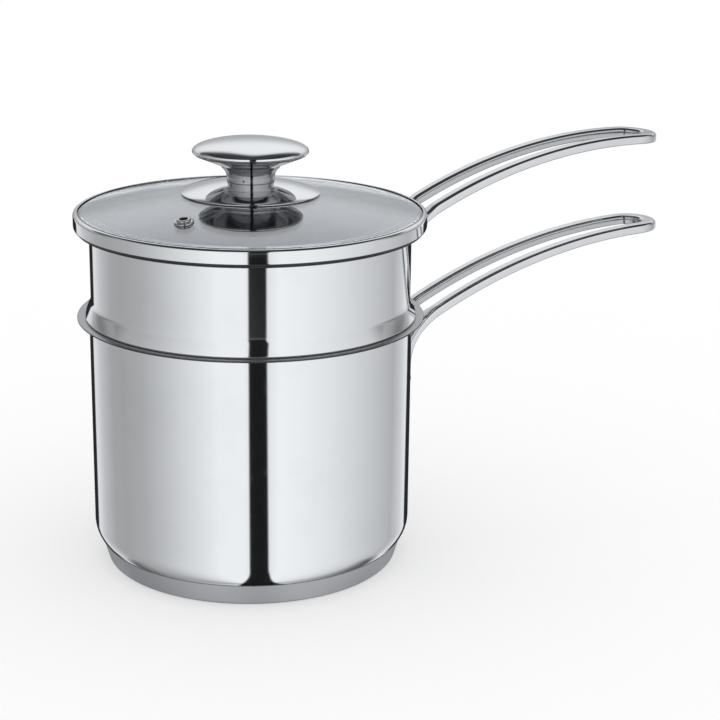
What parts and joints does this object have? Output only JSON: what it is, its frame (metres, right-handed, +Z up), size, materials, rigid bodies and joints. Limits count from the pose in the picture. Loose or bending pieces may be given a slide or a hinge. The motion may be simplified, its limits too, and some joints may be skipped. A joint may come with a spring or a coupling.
{
  "type": "double boiler",
  "caption": "Double boiler: a saucepan with an encapsulated base, an insert pan that hangs in its mouth, long loop handles, and a domed glass lid with a mushroom knob and steam vent.",
  "frame": {"origin": "centre of the flat underside of the base, on the surface that the pan stands on", "axes": "+Z up along the pans' common axis; +X along both handles, towards their tips"},
  "size_m": [0.3224, 0.1748, 0.2149],
  "materials": {
    "polished_steel": "mirror-polished stainless steel",
    "satin_steel": "satin stainless steel",
    "plain_steel": "plain stainless steel",
    "aluminium": "plain",
    "glass": "clear, slightly blue",
    "silicone": "matte translucent white"
  },
  "bodies": {
    "lower_pan": {"lower_pan_shell": "polished_steel", "base_core": "aluminium", "base_cap": "satin_steel", "lower_handle": "polished_steel", "lower_handle_welds": "plain_steel"},
    "insert_pan": {"insert_pan_shell": "polished_steel", "upper_handle": "polished_steel", "upper_handle_welds": "plain_steel"},
    "lid": {"lid_glass": "glass", "lid_band": "polished_steel", "vent_eyelet": "polished_steel", "vent_collar": "polished_steel", "vent_washer": "silicone", "rosette": "polished_steel", "rosette_cushion": "silicone", "knob_neck": "polished_steel", "knob_crown": "polished_steel", "knob_bush": "plain_steel", "knob_screw": "plain_steel", "screw_washer": "plain_steel", "screw_seal": "silicone"}
  },
  "joints": [
    {"name": "insert_lift", "type": "slide", "parent": "lower_pan", "child": "insert_pan", "axis": [0, 0, 1], "range_m": [0, 0.08]},
    {"name": "lid_lift", "type": "slide", "parent": "insert_pan", "child": "lid", "axis": [0, 0, 1], "range_m": [0, 0.04]}
  ]
}
